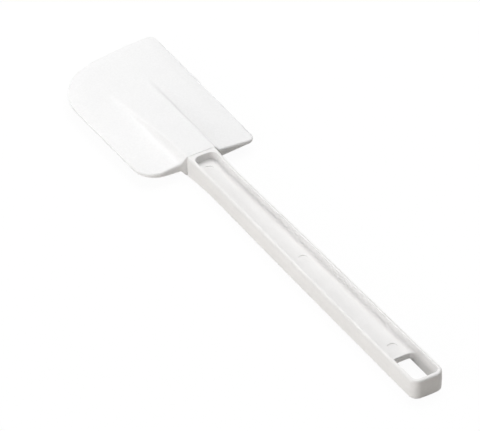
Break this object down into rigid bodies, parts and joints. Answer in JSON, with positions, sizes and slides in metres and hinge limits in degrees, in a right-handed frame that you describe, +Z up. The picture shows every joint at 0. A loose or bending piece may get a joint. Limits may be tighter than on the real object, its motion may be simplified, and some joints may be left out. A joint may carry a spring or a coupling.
{
  "type": "rubber spatula",
  "caption": "Kitchen scraper: a flat rubber blade with one large and one small tip corner, pushed onto the tang of a channelled plastic handle with a hanging hole.",
  "frame": {"origin": "centre of the bounding box at the level of the surface the spatula lies on", "axes": "+X along the handle from the blade's tip to the butt with the hanging hole, +Y toward the blade's long edge that ends in the small tip corner, +Z up from the flat side it lies on"},
  "size_m": [0.343, 0.0738, 0.0132],
  "materials": {
    "handle_plastic": "white, satin as moulded",
    "blade_rubber": "white, smooth and matte"
  },
  "bodies": {
    "handle": {"handle": "handle_plastic"},
    "blade_root": {"blade_root": "blade_rubber"},
    "blade_tip": {"blade_tip": "blade_rubber"}
  },
  "joints": [
    {"name": "blade_pull_off", "type": "slide", "parent": "handle", "child": "blade_root", "axis": [-1, 0, 0], "range_m": [0, 0.056]},
    {"name": "blade_flex", "type": "hinge", "parent": "blade_root", "child": "blade_tip", "pos_m": [-0.1272, -0.001, 0.0066], "axis": [0, 1, 0], "range_deg": [-40, 40], "stiffness_Nm_per_rad": 0.3}
  ]
}
